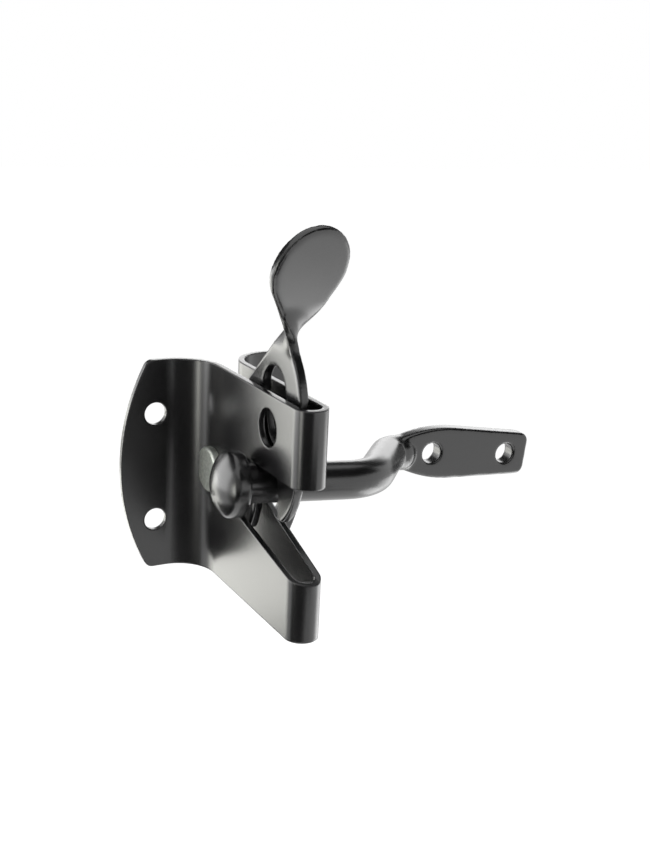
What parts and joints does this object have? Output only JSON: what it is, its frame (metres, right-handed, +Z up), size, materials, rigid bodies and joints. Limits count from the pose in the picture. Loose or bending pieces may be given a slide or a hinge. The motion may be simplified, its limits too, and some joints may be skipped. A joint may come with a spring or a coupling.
{
  "type": "automatic gate latch",
  "caption": "Folded steel gate latch case with a riveted gravity lever, twisted spoon thumb piece and cranked striker bar.",
  "frame": {"origin": "middle of the four post screw holes, on the back face of the case's flanges (Y = 0)", "axes": "+Z up, -Y out of the post towards the gate's edge side, +X along the striker bar towards its screw plate; X = 0 is midway between the two walls of the case"},
  "size_m": [0.1184, 0.0588, 0.0979],
  "materials": {
    "black_paint": "semi-gloss black baked paint, smooth",
    "zinc": "bright zinc plate on the flat rivet head"
  },
  "bodies": {
    "case": {"latch_case": "black_paint", "pivot_rivet": "zinc", "striker_bar": "black_paint"},
    "lever": {"lever": "black_paint"}
  },
  "joints": [
    {"name": "lever_lift", "type": "hinge", "parent": "case", "child": "lever", "pos_m": [0, -0.01, 0.0008], "axis": [-1, 0, 0], "range_deg": [0, 30]}
  ]
}
